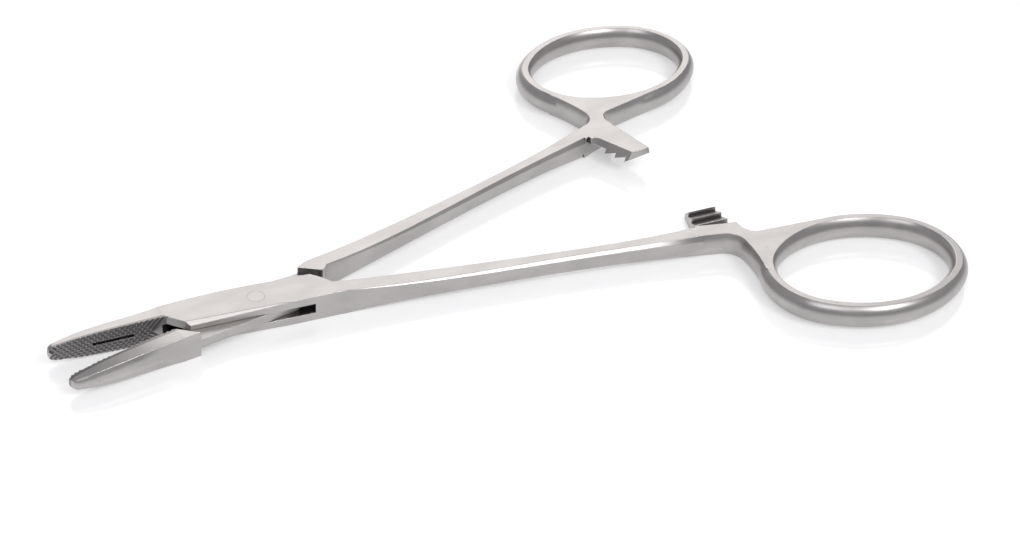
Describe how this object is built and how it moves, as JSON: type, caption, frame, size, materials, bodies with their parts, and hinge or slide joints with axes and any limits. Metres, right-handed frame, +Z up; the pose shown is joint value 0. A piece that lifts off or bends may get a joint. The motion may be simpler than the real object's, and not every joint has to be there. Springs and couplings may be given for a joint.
{
  "type": "surgical needle holder",
  "caption": "Ring-handled needle holder with a box lock, serrated jaws, tapered shanks and a ratchet between oval finger rings.",
  "frame": {"origin": "on the pivot axis, at the underside of the box lock, which is the plane the instrument lies on", "axes": "+X from the jaws to the finger rings, along the line half way between the two shanks; +Z up along the pivot axis; +Y to the side of the tongue half's finger ring"},
  "size_m": [0.1356, 0.0978, 0.0042],
  "materials": {
    "steel": "satin",
    "rivet": "satin"
  },
  "bodies": {
    "lower_body": {"box_half": "steel", "pivot_pin": "rivet"},
    "upper_body": {"tongue_half": "steel"}
  },
  "joints": [
    {"name": "pivot", "type": "hinge", "parent": "lower_body", "child": "upper_body", "pos_m": [0, 0, 0], "axis": [0, 0, 1], "range_deg": [-13, 27]}
  ]
}
